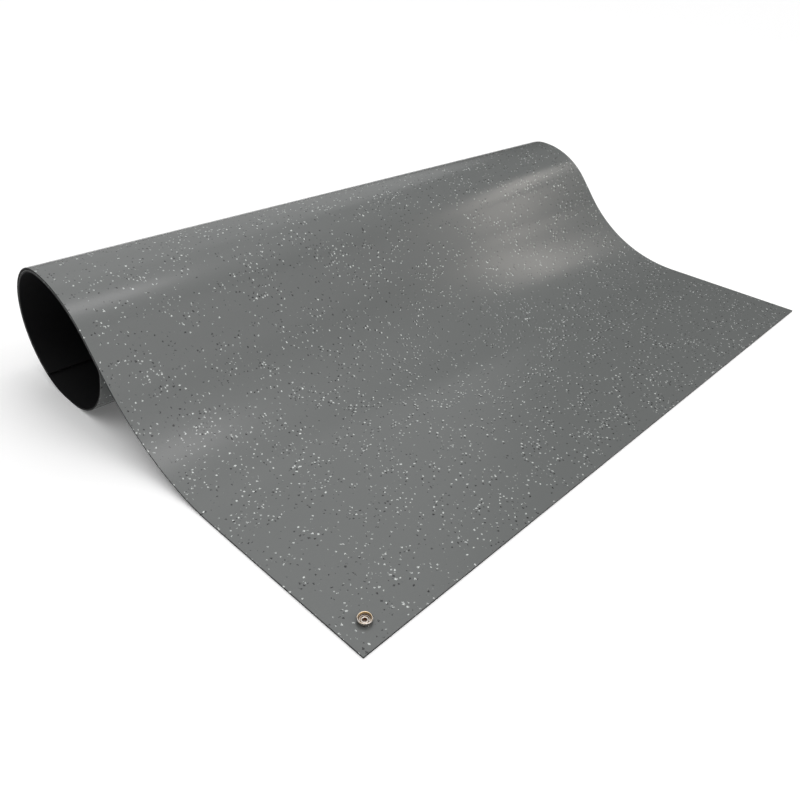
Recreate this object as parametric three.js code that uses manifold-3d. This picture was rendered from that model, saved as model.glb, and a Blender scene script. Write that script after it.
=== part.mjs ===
// Anti-static floor mat of speckled rubber, half unrolled: the front of the sheet lies flat,
// then it rises over a hump and goes on round a loose roll of about one and a half turns.
// Beside the near corner it carries a riveted metal snap for its ground connection.
// Millimetres, +X along the roll, +Y from the front edge to the roll, +Z up.
// The origin is on the floor, under the middle of the whole mat.

import * as THREE from 'three';
import { mergeVertices } from 'three/addons/utils/BufferGeometryUtils.js';
import Module from 'manifold-3d';

const DEG = Math.PI / 180;

// The sheet as it is cut
const MAT_WIDTH = 900;
const MAT_LENGTH = 1200;
const MAT_THICKNESS = 2;

// How the sheet lies, along its middle line from the front edge
const FLAT_LENGTH = 195;
const RISE_RADIUS = 230;
const RISE_ANGLE = 48 * DEG;
const SLOPE_LENGTH = 37;
const HUMP_RADIUS = 124;
const SHOULDER_RADIUS = 54;
const SHOULDER_TURN = 30 * DEG;
const BACK_TURN = 136 * DEG;
const REST_LENGTH = 12;
const BELLY_TURN = 81 * DEG;
const TUCK_RADIUS = 10;
const TURN_GAP = 0.8;

// The snap: a socket on the mat's face, and the hollow rivet that holds it
const SNAP_FROM_SIDE = 24;
const SNAP_FROM_FRONT = 23.5;
const SOCKET_HEIGHT = 4;
const SOCKET_RIM_RADIUS = 6.8;
const SOCKET_MOUTH_RADIUS = 5;
const SOCKET_BASE_RADIUS = 5.8;
const SOCKET_FLOOR = 0.6;
const RIM_ROUND = 0.65;
const RIVET_BARREL_RADIUS = 2.25;
const RIVET_WALL = 0.5;
const RIVET_FLANGE_RADIUS = 5.5;
const RIVET_FLANGE = 0.5;
const RIVET_HEAD_RADIUS = 3.6;
const RIVET_HEAD = 0.6;

// Room between the metal and the rubber, and between the two metal pieces
const CLEARANCE = 0.3;

// Fineness of the round shapes
const SHEET_STEP = 3 * DEG;
const SNAP_SIDES = 48;
const ROUND_STEPS = 4;

const wasm = await Module();
wasm.setup();

// The roll

// Where a turn of radius 1 to the right leads, from one heading to another
function rightTurn(from, to) {
  return new THREE.Vector2(Math.sin(from) - Math.sin(to), Math.cos(to) - Math.cos(from));
}

// The headings at which one bend gives way to the next: 0 is flat, and they fall as the sheet rolls up
const backStart = -SHOULDER_TURN;
const backEnd = backStart - BACK_TURN;
const floorHeading = -Math.PI;
const tuckStart = floorHeading - BELLY_TURN;
const tuckEnd = RISE_ANGLE - 2 * Math.PI;

const pitch = MAT_THICKNESS + TURN_GAP;
const slopeDirection = new THREE.Vector2(Math.cos(RISE_ANGLE), Math.sin(RISE_ANGLE));
const slopeNormal = new THREE.Vector2(-slopeDirection.y, slopeDirection.x);

// The radii of the back and the belly follow from the rest: the roll comes down to the floor,
// and its inner turn comes up against the underside of the slope
function solveRadii() {
  const fixed = slopeDirection.clone().multiplyScalar(SLOPE_LENGTH);
  fixed.addScaledVector(rightTurn(RISE_ANGLE, 0), HUMP_RADIUS);
  fixed.addScaledVector(rightTurn(0, backStart), SHOULDER_RADIUS);
  const slopeStartHeight = RISE_RADIUS * (1 - Math.cos(RISE_ANGLE));
  const back = rightTurn(backStart, backEnd);
  const bellyDown = rightTurn(backEnd, floorHeading);
  const bellyUp = rightTurn(floorHeading, tuckStart);
  const belly = bellyDown.clone().add(bellyUp);
  const rest = new THREE.Vector2(-REST_LENGTH, 0);
  const tuck = rightTurn(tuckStart, tuckEnd).multiplyScalar(TUCK_RADIUS);

  // Two straight conditions on the two radii: height at the floor, distance from the slope
  const dropNeeded = -slopeStartHeight - fixed.y;
  const closeNeeded = -pitch - fixed.dot(slopeNormal) - rest.dot(slopeNormal) - tuck.dot(slopeNormal);
  const determinant = back.y * belly.dot(slopeNormal) - bellyDown.y * back.dot(slopeNormal);
  const backRadius = (dropNeeded * belly.dot(slopeNormal) - bellyDown.y * closeNeeded) / determinant;
  const bellyRadius = (back.y * closeNeeded - back.dot(slopeNormal) * dropNeeded) / determinant;

  // How far up the slope the inner turn meets it
  const meeting = fixed.clone().add(rest).add(tuck);
  meeting.addScaledVector(back, backRadius);
  meeting.addScaledVector(belly, bellyRadius);
  return { backRadius, bellyRadius, meetsAt: meeting.dot(slopeDirection) };
}

const { backRadius, bellyRadius, meetsAt } = solveRadii();

// One turn of the roll, a whole number of pitches inside the outer one
function turnLegs(turn) {
  const inset = turn * pitch;
  const slope = turn === 0 ? SLOPE_LENGTH : SLOPE_LENGTH - meetsAt;
  return [
    { run: slope },
    { radius: HUMP_RADIUS - inset, sweep: -RISE_ANGLE },
    { radius: SHOULDER_RADIUS - inset, sweep: -SHOULDER_TURN },
    { radius: backRadius - inset, sweep: -BACK_TURN },
    { radius: bellyRadius - inset, sweep: floorHeading - backEnd },
    { run: REST_LENGTH },
    { radius: bellyRadius - inset, sweep: -BELLY_TURN },
    { radius: TUCK_RADIUS - inset, sweep: tuckEnd - tuckStart },
  ];
}

// The middle line of the sheet, as points that each know their heading
function middleLine() {
  const line = [{ at: new THREE.Vector2(0, MAT_THICKNESS / 2), heading: 0 }];
  let left = MAT_LENGTH;

  function straight(run) {
    const last = line.at(-1);
    const length = Math.min(run, left);
    const step = new THREE.Vector2(Math.cos(last.heading), Math.sin(last.heading)).multiplyScalar(length);
    line.push({ at: last.at.clone().add(step), heading: last.heading });
    left -= length;
  }

  function bend(radius, sweep) {
    const last = line.at(-1);
    const side = -Math.sign(sweep);
    const angle = Math.min(Math.abs(sweep), left / radius);
    const steps = Math.ceil(angle / SHEET_STEP);
    for (let i = 1; i <= steps; i += 1) {
      const heading = last.heading - (side * angle * i) / steps;
      const step = rightTurn(last.heading, heading).multiplyScalar(side * radius);
      line.push({ at: last.at.clone().add(step), heading });
    }
    left -= angle * radius;
  }

  const legs = [{ run: FLAT_LENGTH }, { radius: RISE_RADIUS, sweep: RISE_ANGLE }];
  for (let turn = 0; left > 0; turn += 1) {
    legs.push(...turnLegs(turn));
    while (legs.length > 0 && left > 0) {
      const leg = legs.shift();
      if (leg.sweep === undefined) straight(leg.run);
      else bend(leg.radius, leg.sweep);
    }
  }
  return line;
}

// The section of the sheet: its face one way along the middle line, its back the other way
function sheetSection() {
  const line = middleLine();
  const side = (point, offset) => new THREE.Vector2(
    point.at.x - offset * Math.sin(point.heading),
    point.at.y + offset * Math.cos(point.heading),
  );
  const back = line.map((point) => side(point, -MAT_THICKNESS / 2));
  const face = line.map((point) => side(point, MAT_THICKNESS / 2));
  return back.concat(face.reverse());
}

// Solids

const SECTION_TO_PART = new THREE.Matrix4().makeBasis(
  new THREE.Vector3(0, 1, 0),
  new THREE.Vector3(0, 0, 1),
  new THREE.Vector3(1, 0, 0),
);

function toSolid(geometry) {
  const bare = geometry.clone();
  bare.deleteAttribute('normal');
  bare.deleteAttribute('uv');
  const merged = mergeVertices(bare);
  return new wasm.Manifold(new wasm.Mesh({
    numProp: 3,
    vertProperties: merged.getAttribute('position').array,
    triVerts: Uint32Array.from(merged.getIndex().array),
  }));
}

function toGeometry(solid) {
  const mesh = solid.getMesh();
  const geometry = new THREE.BufferGeometry();
  geometry.setAttribute('position', new THREE.BufferAttribute(mesh.vertProperties, 3));
  geometry.setIndex(new THREE.BufferAttribute(mesh.triVerts, 1));
  geometry.computeVertexNormals();
  return geometry;
}

// A turned piece stands on its axis; its outline runs up the outside and down the inside
function turned(outline) {
  const closed = outline.concat([outline[0].clone()]);
  return new THREE.LatheGeometry(closed, SNAP_SIDES).rotateX(Math.PI / 2);
}

// A quarter round from one angle to another, about a centre
function quarter(radius, height, round, from, to) {
  const points = [];
  for (let i = 0; i <= ROUND_STEPS; i += 1) {
    const angle = from + ((to - from) * i) / ROUND_STEPS;
    points.push(new THREE.Vector2(radius + round * Math.cos(angle), height + round * Math.sin(angle)));
  }
  return points;
}

function rivetHole(radius, bottom, top) {
  const height = top - bottom;
  const hole = new THREE.CylinderGeometry(radius, radius, height, SNAP_SIDES).rotateX(Math.PI / 2);
  return toSolid(hole.translate(SNAP_FROM_SIDE, SNAP_FROM_FRONT, bottom + height / 2));
}

// One sheet of rubber, with a hole for the rivet's barrel and a recess under it for the flange
function matGeometry(section) {
  const shape = new THREE.Shape(section);
  const sheet = new THREE.ExtrudeGeometry(shape, { depth: MAT_WIDTH, bevelEnabled: false, steps: 1 });
  sheet.applyMatrix4(SECTION_TO_PART);
  const barrelHole = rivetHole(RIVET_BARREL_RADIUS + CLEARANCE, -MAT_THICKNESS, 2 * MAT_THICKNESS);
  const recessTop = RIVET_FLANGE + CLEARANCE;
  const flangeRecess = rivetHole(RIVET_FLANGE_RADIUS + CLEARANCE, -MAT_THICKNESS, recessTop);
  return toGeometry(toSolid(sheet).subtract(barrelHole).subtract(flangeRecess));
}

// The pressed socket: a floor, a foot, and a rolled rim with a narrow flat top
const socketSeat = MAT_THICKNESS + CLEARANCE;
const socketFloorTop = socketSeat + SOCKET_FLOOR;

function socketGeometry() {
  const top = socketSeat + SOCKET_HEIGHT;
  const rimCentre = top - RIM_ROUND;
  const holeRadius = RIVET_BARREL_RADIUS + CLEARANCE;
  const flare = SOCKET_RIM_RADIUS - SOCKET_BASE_RADIUS;
  return turned([
    new THREE.Vector2(holeRadius, socketSeat),
    new THREE.Vector2(SOCKET_BASE_RADIUS, socketSeat),
    new THREE.Vector2(SOCKET_BASE_RADIUS, socketFloorTop),
    new THREE.Vector2(SOCKET_RIM_RADIUS, socketFloorTop + flare),
    ...quarter(SOCKET_RIM_RADIUS - RIM_ROUND, rimCentre, RIM_ROUND, 0, Math.PI / 2),
    ...quarter(SOCKET_MOUTH_RADIUS + RIM_ROUND, rimCentre, RIM_ROUND, Math.PI / 2, Math.PI),
    new THREE.Vector2(SOCKET_MOUTH_RADIUS, socketFloorTop),
    new THREE.Vector2(holeRadius, socketFloorTop),
  ]);
}

// The hollow rivet: a flange under the mat, a barrel through it, and a rolled head in the socket
function rivetGeometry() {
  const bore = RIVET_BARREL_RADIUS - RIVET_WALL;
  const headBottom = socketFloorTop + CLEARANCE;
  const headRound = RIVET_HEAD / 2;
  return turned([
    new THREE.Vector2(bore, 0),
    new THREE.Vector2(RIVET_FLANGE_RADIUS, 0),
    new THREE.Vector2(RIVET_FLANGE_RADIUS, RIVET_FLANGE),
    new THREE.Vector2(RIVET_BARREL_RADIUS, RIVET_FLANGE),
    new THREE.Vector2(RIVET_BARREL_RADIUS, headBottom),
    ...quarter(RIVET_HEAD_RADIUS - headRound, headBottom + headRound, headRound, -Math.PI / 2, Math.PI / 2),
    new THREE.Vector2(bore, headBottom + RIVET_HEAD),
  ]);
}

// The part

const rubber = new THREE.MeshStandardMaterial({ color: 0x74787a, roughness: 0.55, metalness: 0 });
const nickel = new THREE.MeshStandardMaterial({ color: 0xc9bfae, roughness: 0.25, metalness: 1 });

function named(name, geometry, material) {
  const mesh = new THREE.Mesh(geometry, material);
  mesh.name = name;
  return mesh;
}

const section = sheetSection();
const depth = Math.max(...section.map((point) => point.x));

const snap = new THREE.Group();
snap.position.set(SNAP_FROM_SIDE, SNAP_FROM_FRONT, 0);
snap.add(named('snap_socket', socketGeometry(), nickel));
snap.add(named('snap_rivet', rivetGeometry(), nickel));

const lying = new THREE.Group();
lying.position.set(-MAT_WIDTH / 2, -depth / 2, 0);
lying.add(named('mat_sheet', matGeometry(section), rubber), snap);

const part = new THREE.Group();
part.add(lying);

export default part;
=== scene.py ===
# %% [markdown]
# # A speckled rubber floor mat, half unrolled
#
# The real thing is one sheet of rubber, 900 x 1200 mm and 2 mm thick: a grey face with light and dark
# flecks in it, vulcanised onto a black back. The front of the sheet lies flat, then it rises over a
# hump and goes on round a loose roll. One riveted metal snap sits beside a corner.
#
# The measured solids come first, as a frame that nothing here moves. The pieces below are drawn
# round them, in metres, +X along the roll, +Y from the front edge to the roll and +Z up.

# %% Load the measured solids
import math

import bmesh
import bpy
from mathutils import Matrix, Vector


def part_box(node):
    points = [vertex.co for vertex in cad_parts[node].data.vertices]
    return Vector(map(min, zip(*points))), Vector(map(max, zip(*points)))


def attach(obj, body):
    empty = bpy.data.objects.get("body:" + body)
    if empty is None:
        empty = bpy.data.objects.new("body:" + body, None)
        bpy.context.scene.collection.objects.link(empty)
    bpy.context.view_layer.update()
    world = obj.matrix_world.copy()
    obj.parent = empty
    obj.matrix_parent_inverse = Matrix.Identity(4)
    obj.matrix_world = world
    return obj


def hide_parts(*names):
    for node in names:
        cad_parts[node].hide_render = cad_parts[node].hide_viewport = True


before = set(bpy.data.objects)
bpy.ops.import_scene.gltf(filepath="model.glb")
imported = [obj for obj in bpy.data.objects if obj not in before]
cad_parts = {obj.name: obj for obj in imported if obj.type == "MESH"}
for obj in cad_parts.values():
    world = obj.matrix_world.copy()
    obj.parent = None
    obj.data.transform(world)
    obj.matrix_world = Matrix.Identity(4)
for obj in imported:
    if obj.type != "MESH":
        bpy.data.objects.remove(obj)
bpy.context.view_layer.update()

MM = 0.001
DEG = math.pi / 180
for node in sorted(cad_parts):
    low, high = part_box(node)
    print(node, "measures", [round(side / MM, 1) for side in high - low], "mm")

# %% [markdown]
# ## Where the picture is taken from
#
# The camera stands at the left of the flat front corner and looks down on the mat by about a third
# of a right angle. It could be aimed with a Track To constraint, but that can't hold the camera's
# slight roll. Three turns say it plainly: tilt, heading, roll. The photograph's lens bends straight
# edges a little and this one can't, so the outlines differ by up to about 4 pixels.

# %% The camera
CAMERA_AT = Vector((-0.7034, -0.5164, 0.4614))
CAMERA_HEADING = -48.5 * DEG
CAMERA_TILT_DOWN = 33.2 * DEG
CAMERA_ROLL = 4.0 * DEG
LENS = 33.0
SENSOR = 36.0


def turn(angle, axis):
    return Matrix.Rotation(angle, 4, axis)


lens = bpy.data.cameras.new("camera")
lens.sensor_width = SENSOR
lens.lens = LENS
lens.clip_start = 0.01
camera = bpy.data.objects.new("camera", lens)
bpy.context.scene.collection.objects.link(camera)
level = turn(CAMERA_HEADING, "Z") @ turn(math.pi / 2 - CAMERA_TILT_DOWN, "X")
camera.matrix_world = Matrix.Translation(CAMERA_AT) @ level @ turn(CAMERA_ROLL, "Z")
bpy.context.scene.camera = camera
print("camera", round(CAMERA_AT.length, 2), "m from the middle of the mat")

# %% [markdown]
# ## Floor and light
#
# The mat lies on a plain white floor. In the photograph its flat part grows darker, not lighter, as
# it runs away from the camera. An even white sky can't give that, because satin rubber mirrors what
# is low behind it and turns milky. So this sky is dark near the horizon and rises in two straight
# ramps to its brightest overhead. Two wide suns fill from the front and from behind the roll. The
# camera itself sees plain white behind the mat, and a faint glow keeps the far floor white.
#
# The bright marks in the rubber are mirror images of lamps. The one over the roll makes the streak
# near the open end, and the spot and the strip off to the right make the curl of light on the far
# slope. Area lamps are used because their size decides how soft these marks are. What the real
# lights were isn't known: these were fitted to the photograph's tones, then adjusted.

# %% Helpers for objects, materials and nodes


def new_object(name, bm):
    """An object at the origin that holds a finished bmesh."""
    mesh = bpy.data.meshes.new(name)
    bm.to_mesh(mesh)
    bm.free()
    made = bpy.data.objects.new(name, mesh)
    bpy.context.scene.collection.objects.link(made)
    return made


def new_material(name):
    """A material with its node tree and its Principled shader."""
    material = bpy.data.materials.new(name)
    material.use_nodes = True
    return material, material.node_tree, material.node_tree.nodes["Principled BSDF"]


def add_node(tree, kind, **settings):
    """A shader node with its settings; a setting that names an input sets that input."""
    node = tree.nodes.new(kind)
    for name, value in settings.items():
        if hasattr(node, name):
            setattr(node, name, value)
        else:
            node.inputs[name.replace("_", " ")].default_value = value
    return node


def math_node(tree, operation, first, second=0.0, clamp=False):
    """A Math node fed by sockets or numbers; returns its output."""
    node = tree.nodes.new("ShaderNodeMath")
    node.operation = operation
    node.use_clamp = clamp
    for socket, value in zip(node.inputs, (first, second)):
        if isinstance(value, bpy.types.NodeSocket):
            tree.links.new(value, socket)
        else:
            socket.default_value = value
    return node.outputs[0]


def remap(tree, value, low, high, to_low, to_high):
    """Map Range with its ends held; returns its output."""
    node = tree.nodes.new("ShaderNodeMapRange")
    tree.links.new(value, node.inputs["Value"])
    for name, number in (("From Min", low), ("From Max", high), ("To Min", to_low), ("To Max", to_high)):
        node.inputs[name].default_value = number
    return node.outputs["Result"]


# %% The floor and the sky
FLOOR_SIZE = 60.0
FLOOR_WHITE = 0.96
FLOOR_GLOW = 0.09
PAPER_ROUGHNESS = 0.9
PAPER_GLOSS = 0.2
WHITE = (1, 1, 1, 1)
SOFTBOX_STARTS = 0.24
SOFTBOX_EDGE_AT = 0.65
SOFTBOX_EDGE = 0.44
SOFTBOX_MIDDLE = 1.98

bm = bmesh.new()
bmesh.ops.create_grid(bm, x_segments=1, y_segments=1, size=FLOOR_SIZE / 2)
floor = new_object("studio_floor", bm)
paper, _, paper_shader = new_material("white_paper")
paper_shader.inputs["Base Color"].default_value = (FLOOR_WHITE, FLOOR_WHITE, FLOOR_WHITE, 1)
paper_shader.inputs["Roughness"].default_value = PAPER_ROUGHNESS
paper_shader.inputs["Specular IOR Level"].default_value = PAPER_GLOSS
paper_shader.inputs["Emission Color"].default_value = WHITE
paper_shader.inputs["Emission Strength"].default_value = FLOOR_GLOW
floor.data.materials.append(paper)

sky = bpy.data.worlds.new("studio_sky")
sky.use_nodes = True
sky_tree = sky.node_tree
direction = add_node(sky_tree, "ShaderNodeTexCoord").outputs["Generated"]
upward = add_node(sky_tree, "ShaderNodeSeparateXYZ")
sky_tree.links.new(direction, upward.inputs[0])
edge = remap(sky_tree, upward.outputs["Z"], SOFTBOX_STARTS, SOFTBOX_EDGE_AT, 0, SOFTBOX_EDGE)
rise = SOFTBOX_MIDDLE - SOFTBOX_EDGE
middle = remap(sky_tree, upward.outputs["Z"], SOFTBOX_EDGE_AT, 1.0, 0, rise)
softbox = math_node(sky_tree, "ADD", edge, middle)
white_backdrop = add_node(sky_tree, "ShaderNodeLightPath").outputs["Is Camera Ray"]
strength = math_node(sky_tree, "MAXIMUM", softbox, white_backdrop)
backdrop = sky_tree.nodes["Background"]
backdrop.inputs["Color"].default_value = WHITE
sky_tree.links.new(strength, backdrop.inputs["Strength"])
bpy.context.scene.world = sky
bpy.context.scene.view_settings.view_transform = "Standard"
print("white floor and a softbox sky")

# %% The lamps
SUN_WIDTH = 50 * DEG
LAMP_HEIGHT = 1.8
WARM = (1.0, 0.94, 0.88)
NEUTRAL = (1.0, 0.97, 0.98)
ON_THE_MAT = (0.2, 0.1, 0)


def stand(name, data, at, aim):
    """Places a lamp so that it faces the point it is aimed at."""
    lamp = bpy.data.objects.new(name, data)
    bpy.context.scene.collection.objects.link(lamp)
    facing = (Vector(aim) - Vector(at)).to_track_quat("-Z", "Y").to_matrix().to_4x4()
    lamp.matrix_world = Matrix.Translation(Vector(at)) @ facing


def soft_lamp(name, at, aim, size, watts, colour):
    """A rectangular lamp, at lamp height above a point of the floor."""
    data = bpy.data.lights.new(name, "AREA")
    data.shape = "RECTANGLE"
    data.size, data.size_y = size
    data.energy = watts
    data.color = colour
    stand(name, data, (*at, LAMP_HEIGHT), aim)


def wide_sun(name, compass, height, strength):
    """A far light with a wide disc, so that its shadows are soft."""
    data = bpy.data.lights.new(name, "SUN")
    data.angle = SUN_WIDTH
    data.energy = strength
    level = math.cos(height)
    away = Vector((level * math.cos(compass), level * math.sin(compass), math.sin(height)))
    stand(name, data, away, (0, 0, 0))


wide_sun("front_fill", compass=-60 * DEG, height=30 * DEG, strength=0.56)
wide_sun("back_fill", compass=60 * DEG, height=30 * DEG, strength=0.35)
soft_lamp("overhead_lamp", (0.12, 0.11), (0.12, 0.11, 0), size=(0.7, 0.3), watts=2.2, colour=NEUTRAL)
soft_lamp("right_spot", (2.86, -1.08), ON_THE_MAT, size=(0.25, 0.25), watts=2.0, colour=WARM)
soft_lamp("right_strip", (2.54, -0.38), ON_THE_MAT, size=(0.90, 0.20), watts=3.6, colour=WARM)
print("two wide suns and three soft lamps")

# %% [markdown]
# ## Speckled rubber
#
# The flecks are chips of light and dark rubber rolled into the grey. A Voronoi texture has one point
# in each cell of space, and a chip is what lies within about a millimetre of a point, so the sheet
# cuts the chips at all sizes, as the real one does. The texture reads Object coordinates, so its
# scale is in cells per metre. Noise bends the space a little to make the chips ragged, and a slow
# noise makes them gather in some places and thin out in others.

# %% Helpers for the rubbers' nodes


def noise(tree, vector, scale, detail=2.0, roughness=0.5):
    """Noise texture; returns its factor."""
    node = add_node(tree, "ShaderNodeTexNoise", Scale=scale, Detail=detail, Roughness=roughness)
    tree.links.new(vector, node.inputs["Vector"])
    return node.outputs["Fac"]


def mix_colour(tree, share, first, second):
    """Mixes two colours, each a socket or an RGB triple; returns the mixed one."""
    node = tree.nodes.new("ShaderNodeMix")
    node.data_type = "RGBA"
    for name, value in (("Factor", share), ("A", first), ("B", second)):
        socket = next(s for s in node.inputs if s.name == name and s.enabled)
        if isinstance(value, bpy.types.NodeSocket):
            tree.links.new(value, socket)
        elif name == "Factor":
            socket.default_value = value
        else:
            socket.default_value = (*value, 1)
    return next(s for s in node.outputs if s.enabled)


def chips(tree, place, cells_per_metre, radius, gather, keep_low, keep_high):
    """How much of a point is chip, 0 to 1, and a number of each chip's own."""
    cells = add_node(tree, "ShaderNodeTexVoronoi", Scale=cells_per_metre, Randomness=1.0)
    tree.links.new(place, cells.inputs["Vector"])
    apart = tree.nodes.new("ShaderNodeSeparateColor")
    tree.links.new(cells.outputs["Color"], apart.inputs[0])
    keep = remap(tree, gather, 0.35, 0.65, keep_low, keep_high)
    is_kept = math_node(tree, "LESS_THAN", apart.outputs[0], keep)
    reach = remap(tree, apart.outputs[1], 0, 1, 0.55 * radius, radius)
    reach_in_cells = math_node(tree, "MULTIPLY", reach, cells_per_metre)
    depth_inside = math_node(tree, "SUBTRACT", reach_in_cells, cells.outputs["Distance"])
    solid = math_node(tree, "MULTIPLY", depth_inside, 12.0, clamp=True)
    return math_node(tree, "MULTIPLY", solid, is_kept), apart.outputs[2]


# %% The grey rubber
GREY_RUBBER = (0.1258, 0.1325, 0.1300)
LIGHT_CHIP = (0.80, 0.83, 0.81)
PALE_CHIP = (0.42, 0.44, 0.43)
DARK_CHIP = (0.007, 0.007, 0.008)
LIGHT_CHIP_RADIUS = 1.2 * MM
DARK_CHIP_RADIUS = 1.3 * MM
LIGHT_CHIPS_PER_METRE = 262.0
DARK_CHIPS_PER_METRE = 258.0
LIGHT_KEPT = (0.03, 0.68)
DARK_KEPT = (0.04, 0.56)
RAGGEDNESS = 3.0 * MM


def speckled_rubber():
    """The face of the mat."""
    material, tree, shader = new_material("speckled_grey_rubber")
    place = add_node(tree, "ShaderNodeTexCoord").outputs["Object"]
    ragged = add_node(tree, "ShaderNodeTexNoise", Scale=900.0, Detail=1.0)
    tree.links.new(place, ragged.inputs["Vector"])
    centred = add_node(tree, "ShaderNodeVectorMath", operation="SUBTRACT")
    tree.links.new(ragged.outputs["Color"], centred.inputs[0])
    centred.inputs[1].default_value = (0.5, 0.5, 0.5)
    pushed = add_node(tree, "ShaderNodeVectorMath", operation="MULTIPLY_ADD")
    tree.links.new(centred.outputs[0], pushed.inputs[0])
    pushed.inputs[1].default_value = (RAGGEDNESS, RAGGEDNESS, RAGGEDNESS)
    tree.links.new(place, pushed.inputs[2])
    bent_place = pushed.outputs[0]

    gather_light = noise(tree, place, 28.0, detail=3.0)
    gather_dark = noise(tree, bent_place, 41.0, detail=3.0)
    light, light_own = chips(
        tree, bent_place, LIGHT_CHIPS_PER_METRE, LIGHT_CHIP_RADIUS, gather_light, *LIGHT_KEPT
    )
    dark, _ = chips(tree, bent_place, DARK_CHIPS_PER_METRE, DARK_CHIP_RADIUS, gather_dark, *DARK_KEPT)

    cloud = noise(tree, place, 7.0, detail=4.0)
    grain = noise(tree, place, 1400.0, detail=2.0)
    cloudy = math_node(tree, "ADD", remap(tree, cloud, 0.3, 0.7, -0.006, 0.006), 1.0)
    grainy = math_node(tree, "ADD", remap(tree, grain, 0.3, 0.7, -0.05, 0.05), cloudy)
    scaled = add_node(tree, "ShaderNodeVectorMath", operation="SCALE")
    scaled.inputs[0].default_value = GREY_RUBBER
    tree.links.new(grainy, scaled.inputs["Scale"])
    chip_colour = mix_colour(tree, light_own, PALE_CHIP, LIGHT_CHIP)
    with_light = mix_colour(tree, light, scaled.outputs[0], chip_colour)
    with_dark = mix_colour(tree, dark, with_light, DARK_CHIP)
    tree.links.new(with_dark, shader.inputs["Base Color"])

    sheen_patch = noise(tree, place, 5.0, detail=3.0)
    tree.links.new(remap(tree, sheen_patch, 0.3, 0.7, 0.22, 0.26), shader.inputs["Roughness"])
    bump = add_node(tree, "ShaderNodeBump", Strength=0.25, Distance=0.05 * MM)
    tree.links.new(grain, bump.inputs["Height"])
    tree.links.new(bump.outputs["Normal"], shader.inputs["Normal"])
    return material


# %% The black rubber
BLACK_RUBBER = (0.006, 0.006, 0.0065)


def black_rubber():
    """The back of the mat, plain and matt."""
    material, tree, shader = new_material("black_rubber")
    place = add_node(tree, "ShaderNodeTexCoord").outputs["Object"]
    grain = noise(tree, place, 900.0, detail=3.0)
    colour = mix_colour(tree, grain, BLACK_RUBBER, tuple(1.6 * part for part in BLACK_RUBBER))
    tree.links.new(colour, shader.inputs["Base Color"])
    tree.links.new(remap(tree, grain, 0.3, 0.7, 0.62, 0.74), shader.inputs["Roughness"])
    shader.inputs["Specular IOR Level"].default_value = 0.15
    bump = add_node(tree, "ShaderNodeBump", Strength=0.5, Distance=0.08 * MM)
    tree.links.new(grain, bump.inputs["Height"])
    tree.links.new(bump.outputs["Normal"], shader.inputs["Normal"])
    return material


# %% [markdown]
# ## How the sheet lies
#
# A rubber sheet bends only one way at a time, so its section is the same all along the roll: straight
# runs and round bends, one after another. The run and bend sizes below are the driving ones. Two
# radii are left open, and follow: the back has to bring the roll down to the floor, and the belly
# has to bring the inner turn up against the underside of the slope. Both conditions are straight
# equations, so a 2 x 2 matrix solves them.

# %% Sizes of the sheet
MAT_LENGTH = 1200 * MM
MAT_THICKNESS = 2 * MM
SKIN_THICKNESS = 0.25 * MM
FLAT_LENGTH = 195 * MM
RISE_RADIUS = 230 * MM
RISE_ANGLE = 48 * DEG
SLOPE_LENGTH = 37 * MM
HUMP_RADIUS = 124 * MM
SHOULDER_RADIUS = 54 * MM
SHOULDER_TURN = 30 * DEG
BACK_TURN = 136 * DEG
REST_LENGTH = 12 * MM
BELLY_TURN = 81 * DEG
TUCK_RADIUS = 10 * MM
TURN_GAP = 0.8 * MM

PITCH = MAT_THICKNESS + TURN_GAP
BACK_END = -SHOULDER_TURN - BACK_TURN
ON_FLOOR = -math.pi
TUCK_START = ON_FLOOR - BELLY_TURN
TUCK_END = RISE_ANGLE - 2 * math.pi


def right_turn(start, end):
    """Where a right turn of radius 1 leads, along and up, from one heading to another."""
    return Vector((math.sin(start) - math.sin(end), math.cos(end) - math.cos(start)))


along_slope = Vector((math.cos(RISE_ANGLE), math.sin(RISE_ANGLE)))
off_slope = Vector((-along_slope.y, along_slope.x))
hump = right_turn(RISE_ANGLE, 0) * HUMP_RADIUS
shoulder = right_turn(0, -SHOULDER_TURN) * SHOULDER_RADIUS
over_top = along_slope * SLOPE_LENGTH + hump + shoulder
back = right_turn(-SHOULDER_TURN, BACK_END)
belly_down = right_turn(BACK_END, ON_FLOOR)
belly = belly_down + right_turn(ON_FLOOR, TUCK_START)
rest_and_tuck = Vector((-REST_LENGTH, 0)) + right_turn(TUCK_START, TUCK_END) * TUCK_RADIUS
slope_foot = RISE_RADIUS * (1 - math.cos(RISE_ANGLE))
conditions = Matrix(((back.y, belly_down.y), (back @ off_slope, belly @ off_slope)))
wanted = Vector((-slope_foot - over_top.y, -PITCH - (over_top + rest_and_tuck) @ off_slope))
BACK_RADIUS, BELLY_RADIUS = conditions.inverted() @ wanted
MEETS_AT = (over_top + rest_and_tuck + back * BACK_RADIUS + belly * BELLY_RADIUS) @ along_slope
print("back radius", round(BACK_RADIUS / MM, 2), "mm, belly radius", round(BELLY_RADIUS / MM, 2), "mm")

# %% The runs and bends, cut to the sheet's length
STRAIGHT = None


def turn_of_roll(number):
    """The runs and bends of one turn, which lies a whole number of pitches inside the first."""
    inset = number * PITCH
    slope = SLOPE_LENGTH if number == 0 else SLOPE_LENGTH - MEETS_AT
    return [
        (STRAIGHT, slope),
        (HUMP_RADIUS - inset, -RISE_ANGLE),
        (SHOULDER_RADIUS - inset, -SHOULDER_TURN),
        (BACK_RADIUS - inset, -BACK_TURN),
        (BELLY_RADIUS - inset, ON_FLOOR - BACK_END),
        (STRAIGHT, REST_LENGTH),
        (BELLY_RADIUS - inset, -BELLY_TURN),
        (TUCK_RADIUS - inset, TUCK_END - TUCK_START),
    ]


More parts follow.
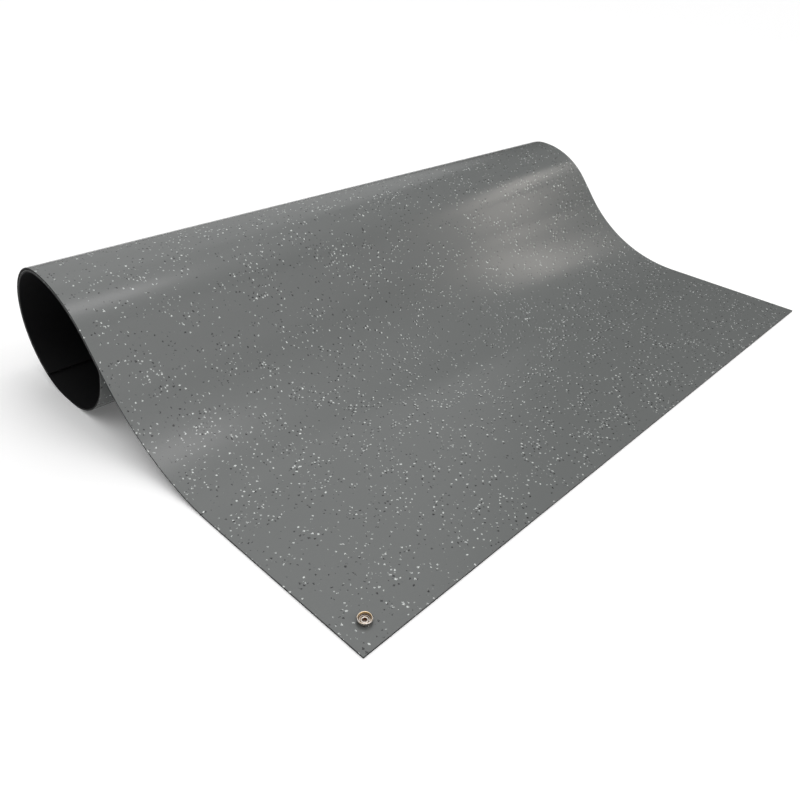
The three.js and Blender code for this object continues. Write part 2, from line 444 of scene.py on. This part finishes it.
def cut_to_length(legs, length):
    """The same runs and bends, with the last one shortened where the sheet ends."""
    kept = []
    for radius, amount in legs:
        long = abs(amount) * (1 if radius is STRAIGHT else radius)
        share = min(1, length / long)
        if share > 0:
            kept.append((radius, amount * share))
        length -= long * share
    return kept


whole_way = [(STRAIGHT, FLAT_LENGTH), (RISE_RADIUS, RISE_ANGLE)] + turn_of_roll(0) + turn_of_roll(1)
legs = cut_to_length(whole_way, MAT_LENGTH)
print(len(legs), "runs and bends")

# %% [markdown]
# ## The sheet of rubber
#
# The front cut edge of the sheet is a long thin rectangle, with a line where the grey skin meets the
# black. Drawn along the runs and spun through the bends, it leaves the whole sheet behind it, at its
# true thickness everywhere. A plane bent by modifiers would need its thickness added afterwards, and
# would lose the skin line on its cut edges. The skin's outline and the back's are drawn one after the
# other, so that each knows which rubber it is. How thick the grey is can't be measured: it is set thin
# enough for the cut edges to look as dark as in the photograph, and real ones may be thicker.

# %% Draw the sheet
BEND_STEP = 1.5 * DEG
GREY, BLACK = 0, 1

sheet_low, sheet_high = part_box("mat_sheet")


def edges_of(items):
    return [item for item in items if isinstance(item, bmesh.types.BMEdge)]


def verts_of(items):
    return [item for item in items if isinstance(item, bmesh.types.BMVert)]


def draw_along(bm, strip, legs, start):
    """Pulls a strip of edges along the legs, and returns its last row."""
    at = start.copy()
    heading = 0.0
    for radius, amount in legs:
        if radius is STRAIGHT:
            pulled = bmesh.ops.extrude_edge_only(bm, edges=strip)["geom"]
            row = verts_of(pulled)
            way = Vector((0, math.cos(heading), math.sin(heading))) * amount
            bmesh.ops.translate(bm, verts=row, vec=way)
            strip = [edge for edge in edges_of(pulled) if all(v in row for v in edge.verts)]
            at += way
            continue
        to_left = Vector((0, -math.sin(heading), math.cos(heading)))
        centre = at + to_left * radius * math.copysign(1, amount)
        ends = list({vert for edge in strip for vert in edge.verts})
        steps = math.ceil(abs(amount) / BEND_STEP)
        spun = bmesh.ops.spin(
            bm, geom=ends + strip, cent=centre, axis=(1, 0, 0), angle=amount, steps=steps,
        )["geom_last"]
        strip = edges_of(spun)
        at = centre + Matrix.Rotation(amount, 3, "X") @ (at - centre)
        heading += amount
    return strip


def rubber_strip(bm, side_heights, face_height, rubber, start):
    """One of the two rubbers: its front cut face, what is drawn from it, and its inner cut face."""
    corners = []
    for x, z in (
        (sheet_low.x, side_heights), (sheet_low.x, face_height),
        (sheet_high.x, face_height), (sheet_high.x, side_heights),
    ):
        corners.append(bm.verts.new((x, sheet_low.y, z)))
    front = bm.faces.new(corners)
    seam = bm.edges.get((corners[0], corners[-1]))
    before = set(bm.faces)
    last = draw_along(bm, [edge for edge in front.edges if edge is not seam], legs, start)
    end_verts = list({vert for edge in last for vert in edge.verts})
    bmesh.ops.contextual_create(bm, geom=end_verts + last)
    for face in set(bm.faces) - before | {front}:
        face.material_index = rubber


bm = bmesh.new()
middle = Vector((0, sheet_low.y, MAT_THICKNESS / 2))
skin_line = MAT_THICKNESS - SKIN_THICKNESS
rubber_strip(bm, skin_line, MAT_THICKNESS, GREY, middle)
rubber_strip(bm, skin_line, 0, BLACK, middle)
bmesh.ops.remove_doubles(bm, verts=bm.verts, dist=0.01 * MM)
bmesh.ops.recalc_face_normals(bm, faces=bm.faces)
print("sheet:", len(bm.faces), "faces, open edges:", sum(not e.is_manifold for e in bm.edges))
mat = new_object("speckled_mat", bm)
mat.data.materials.append(speckled_rubber())
mat.data.materials.append(black_rubber())

# %% [markdown]
# ### The rivet's hole
#
# The rivet passes through a punched hole, and its flange lies in a shallow recess underneath. Two
# cutters and a Boolean modifier take them out of the finished sheet. A fine Bevel then breaks the
# knife-cut edges, because an edge without one never catches light.

# %% Punch the hole
socket_low, socket_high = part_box("snap_socket")
rivet_low, rivet_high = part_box("snap_rivet")
SNAP_AT = (socket_low + socket_high) / 2
CLEARANCE = 0.3 * MM
BARREL_RADIUS = 2.25 * MM
FLANGE_RADIUS = (rivet_high.x - rivet_low.x) / 2
FLANGE_THICKNESS = 0.5 * MM
EDGE_BREAK = 0.1 * MM
CREASE = 20 * DEG


def cutter(radius, bottom, top):
    """An upright cylinder at the snap."""
    bm = bmesh.new()
    bmesh.ops.create_cone(
        bm, cap_ends=True, segments=64, radius1=radius, radius2=radius, depth=top - bottom,
    )
    bmesh.ops.translate(bm, verts=bm.verts, vec=(SNAP_AT.x, SNAP_AT.y, (bottom + top) / 2))
    return new_object("cutter", bm)


def apply_modifiers(piece):
    """Makes the modifiers' result the piece's own mesh."""
    bpy.context.view_layer.update()
    shaped = piece.evaluated_get(bpy.context.evaluated_depsgraph_get())
    mesh = bpy.data.meshes.new_from_object(shaped)
    piece.modifiers.clear()
    piece.data = mesh


def smooth(piece, crease=CREASE):
    """Smooth shading, broken only at true edges."""
    piece.data.shade_smooth()
    piece.data.set_sharp_from_angle(angle=crease)


cutters = [
    cutter(BARREL_RADIUS + CLEARANCE, -MAT_THICKNESS, 2 * MAT_THICKNESS),
    cutter(FLANGE_RADIUS + CLEARANCE, -MAT_THICKNESS, FLANGE_THICKNESS + CLEARANCE),
]
for tool in cutters:
    cut = mat.modifiers.new("punch", "BOOLEAN")
    cut.operation = "DIFFERENCE"
    cut.solver = "EXACT"
    cut.object = tool
edge_break = mat.modifiers.new("edge_break", "BEVEL")
edge_break.width = EDGE_BREAK
edge_break.segments = 2
edge_break.limit_method = "ANGLE"
edge_break.angle_limit = 60 * DEG
apply_modifiers(mat)
for tool in cutters:
    bpy.data.objects.remove(tool)
smooth(mat)
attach(mat, "root")
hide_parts("mat_sheet")
print("rubber slots:", [material.name for material in mat.data.materials])
print("sheet with its hole:", len(mat.data.polygons), "faces")

# %% [markdown]
# ## The snap
#
# A snap of this kind is two pressings of thin nickelled brass: a socket with a rolled rim, and the
# hollow rivet that clinches it to the mat. It is only 17 pixels wide in the photograph, so its rim,
# floor and hole follow what shows there, and the rest of its section is the usual one. Round pressings
# are drawn as half an outline and spun once round, as on a lathe. A pressing has no sharp corner, and
# its small radii catch the light, so the outline is a chain of short arcs and has no added bevel.

# %% A turned piece from its outline
TURN_STEPS = 96
ARC_STEPS = 6


def arc(radius, height, wide, tall, start, end):
    """Points round part of an oval, in an outline of (radius, height) in millimetres."""
    angles = [(start + (end - start) * step / ARC_STEPS) * DEG for step in range(ARC_STEPS + 1)]
    return [(radius + wide * math.cos(angle), height + tall * math.sin(angle)) for angle in angles]


def turned(name, outline):
    """Spins a closed outline once round the snap's axis."""
    bm = bmesh.new()
    ring = []
    for radius, height in outline:
        ring.append(bm.verts.new((SNAP_AT.x + radius * MM, SNAP_AT.y, height * MM)))
    sides = [bm.edges.new(pair) for pair in zip(ring, ring[1:] + ring[:1])]
    bmesh.ops.spin(
        bm, geom=ring + sides, cent=(SNAP_AT.x, SNAP_AT.y, 0), axis=(0, 0, 1),
        angle=2 * math.pi, steps=TURN_STEPS, use_merge=True,
    )
    bmesh.ops.remove_doubles(bm, verts=bm.verts, dist=0.001 * MM)
    bmesh.ops.recalc_face_normals(bm, faces=bm.faces)
    print(name, len(bm.faces), "faces, open edges:", sum(not edge.is_manifold for edge in bm.edges))
    return new_object(name, bm)


def recolour_inside(piece, slot, farthest, lowest):
    """Gives the faces that look inwards, within a radius and above a height, another material."""
    for face in piece.data.polygons:
        off_axis = (face.center - SNAP_AT).xy
        inwards = face.normal.xy.dot(off_axis) < -0.3 * off_axis.length
        if inwards and off_axis.length < farthest * MM and face.center.z > lowest * MM:
            face.material_index = slot


# %% Colours of the snap, with a painted reflection and painted shade
METAL_CREASE = 50 * DEG
NICKEL = (0.52, 0.485, 0.46)
WORN_NICKEL = (0.42, 0.35, 0.27)
# Painted reflection: a warm brass colour for the inner half of the socket's rim.
PAINTED_REFLECTION_BRASS = (0.60, 0.40, 0.15)
# Painted shade: dark browns for the socket's inner wall, and for the rivet's bore, where there is
# reddish tarnish too.
PAINTED_SHADE_TARNISH = (0.12, 0.055, 0.03)
PAINTED_SHADE_TARNISH_LIGHTER = (0.24, 0.11, 0.06)


def plated(name, first_colour, second_colour, smoothest, roughest):
    """A metal whose colour and polish wander at random between two colours; on the nickel these are
    fresh and worn.
    """
    material, tree, shader = new_material(name)
    place = add_node(tree, "ShaderNodeTexCoord").outputs["Object"]
    mottle = noise(tree, place, 700.0, detail=4.0)
    colour = mix_colour(tree, remap(tree, mottle, 0.42, 0.72, 0, 1), first_colour, second_colour)
    tree.links.new(colour, shader.inputs["Base Color"])
    shader.inputs["Metallic"].default_value = 1.0
    tree.links.new(remap(tree, mottle, 0.3, 0.7, smoothest, roughest), shader.inputs["Roughness"])
    return material


nickel = plated("warm_nickel", NICKEL, WORN_NICKEL, 0.14, 0.28)
painted_warm_reflection = plated("painted_warm_reflection", PAINTED_REFLECTION_BRASS, WORN_NICKEL, 0.20, 0.36)
tarnish_and_painted_shade = plated("tarnish_and_painted_shade", PAINTED_SHADE_TARNISH, PAINTED_SHADE_TARNISH_LIGHTER, 0.35, 0.50)

# %% [markdown]
# ### The socket
#
# From the hole outwards: a small foot radius, an upright wall, a hollow under the rolled rim, the rim
# itself, the channel where a stud's groove lands, and a fillet down to the floor. The back of the
# mouth shows a warm line over a dark wall. The warm line is a painted reflection: a brass colour on the
# inner half of the rim. The dark wall is painted shade: a dark brown below it. Both are a reading of a
# few pixels.

# %% Spin the socket
SEAT_GAP = 0.02
SEAT = MAT_THICKNESS / MM + SEAT_GAP
SOCKET_TOP = socket_high.z / MM
RIM_RADIUS = (socket_high.x - socket_low.x) / 2 / MM
MOUTH_RADIUS = 5.0
WALL_RADIUS = 5.8
FOOT = 0.35
FLOOR_HEIGHT = 2.9
HOLE_RADIUS = (BARREL_RADIUS + CLEARANCE) / MM
RIM_WIDE = (RIM_RADIUS - MOUTH_RADIUS) / 2
RIM_TALL = 0.8
RIM_MIDDLE = SOCKET_TOP - RIM_TALL
CURL = 0.65
CHANNEL = 0.3
FILLET = 0.5

outline = [(HOLE_RADIUS, SEAT)]
outline += arc(WALL_RADIUS - FOOT, SEAT + FOOT, FOOT, FOOT, -90, 0)
outline += arc(WALL_RADIUS + FOOT, RIM_MIDDLE - 2 * CURL, FOOT, FOOT, 180, 90)
outline += arc(RIM_RADIUS - CURL, RIM_MIDDLE - CURL / 2, CURL, CURL, -90, 0)
outline += arc(RIM_RADIUS - RIM_WIDE, RIM_MIDDLE, RIM_WIDE, RIM_TALL, 0, 90)
outline += arc(MOUTH_RADIUS + RIM_WIDE, RIM_MIDDLE, RIM_WIDE, RIM_TALL, 90, 180)[1:]
outline += arc(MOUTH_RADIUS, RIM_MIDDLE - 3.5 * CHANNEL, CHANNEL, CHANNEL, 90, -90)
outline += arc(MOUTH_RADIUS - FILLET, FLOOR_HEIGHT + FILLET, FILLET, FILLET, 0, -90)
outline += [(HOLE_RADIUS, FLOOR_HEIGHT)]

socket = turned("pressed_socket", outline)
socket.data.materials.append(nickel)
socket.data.materials.append(tarnish_and_painted_shade)
socket.data.materials.append(painted_warm_reflection)
# Painted shade: the dark brown on the socket's inner wall below the rim.
recolour_inside(socket, 1, MOUTH_RADIUS + RIM_WIDE, FLOOR_HEIGHT + CHANNEL)
# Painted reflection: the warm brass colour on the inner half of the rim.
recolour_inside(socket, 2, MOUTH_RADIUS + RIM_WIDE, RIM_MIDDLE - 2 * CHANNEL)
smooth(socket, METAL_CREASE)
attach(socket, "root")
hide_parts("snap_socket")

# %% [markdown]
# ### The hollow rivet
#
# Its flange lies out of sight in the recess under the mat, its barrel goes up through the rubber and
# the socket's floor, and its mouth is rolled outwards over that floor. The bore shows dark and
# reddish, so it gets the same dark brown as the socket's wall: reddish tarnish, with painted shade for
# its darkness.

# %% Spin the rivet
RIVET_WALL = 0.5
BORE_RADIUS = BARREL_RADIUS / MM - RIVET_WALL
FLANGE_RIM = FLANGE_RADIUS / MM
FLANGE_TOP = FLANGE_THICKNESS / MM
FLANGE_ROUND = 0.2
HEAD_TOP = rivet_high.z / MM
HEAD_RADIUS = 3.6
HEAD_ROUND = 0.4
HEAD_CREST = 2.7
MOUTH_ROUND = 0.7

outline = [(BORE_RADIUS, 0)]
outline += arc(FLANGE_RIM - FLANGE_ROUND, FLANGE_ROUND, FLANGE_ROUND, FLANGE_ROUND, -90, 0)
outline += arc(FLANGE_RIM - FLANGE_ROUND, FLANGE_TOP - FLANGE_ROUND, FLANGE_ROUND, FLANGE_ROUND, 0, 90)
outline += [(BARREL_RADIUS / MM, FLANGE_TOP), (BARREL_RADIUS / MM, FLOOR_HEIGHT)]
outline += arc(HEAD_RADIUS - HEAD_ROUND, FLOOR_HEIGHT + HEAD_ROUND, HEAD_ROUND, HEAD_ROUND, -90, 0)
outline += arc(
    HEAD_CREST, FLOOR_HEIGHT + HEAD_ROUND, HEAD_RADIUS - HEAD_CREST,
    HEAD_TOP - FLOOR_HEIGHT - HEAD_ROUND, 0, 90,
)[1:]
outline += arc(
    HEAD_CREST, HEAD_TOP - MOUTH_ROUND, HEAD_CREST - BORE_RADIUS, MOUTH_ROUND, 90, 180,
)[1:]

rivet = turned("hollow_rivet", outline)
rivet.data.materials.append(nickel)
rivet.data.materials.append(tarnish_and_painted_shade)
# The bore's dark brown is reddish tarnish with painted shade for its darkness.
recolour_inside(rivet, 1, BORE_RADIUS + 0.1, 0)
smooth(rivet, METAL_CREASE)
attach(rivet, "root")
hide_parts("snap_rivet")
